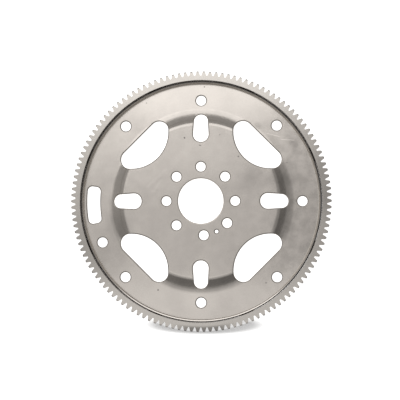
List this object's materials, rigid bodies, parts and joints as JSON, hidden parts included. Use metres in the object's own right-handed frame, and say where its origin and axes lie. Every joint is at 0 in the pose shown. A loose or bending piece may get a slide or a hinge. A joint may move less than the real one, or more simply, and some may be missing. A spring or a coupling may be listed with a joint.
{
  "type": "flexplate",
  "caption": "Pressed steel flexplate with a raised crankshaft plateau, lightening windows, oval holes and a toothed starter ring welded round its upturned rim",
  "frame": {"origin": "On the axis of the bore, in the plane of the underside of the channel, which is the lowest face and the one it rests on.", "axes": "+Z is the axis of the disc and points to the side that the raised plateau stands out on; +Y is the top of the picture; +X is its right. The first crankshaft hole is on +X."},
  "size_m": [0.3344, 0.3344, 0.012],
  "materials": {
    "disc_steel": "satin",
    "ring_steel": "satin",
    "weld_steel": "satin"
  },
  "bodies": {
    "root": {"disc": "disc_steel", "ring_gear": "ring_steel", "weld_stitch_01": "weld_steel", "weld_stitch_02": "weld_steel", "weld_stitch_03": "weld_steel", "weld_stitch_04": "weld_steel", "weld_stitch_05": "weld_steel", "weld_stitch_06": "weld_steel", "weld_stitch_07": "weld_steel", "weld_stitch_08": "weld_steel"}
  },
  "joints": []
}
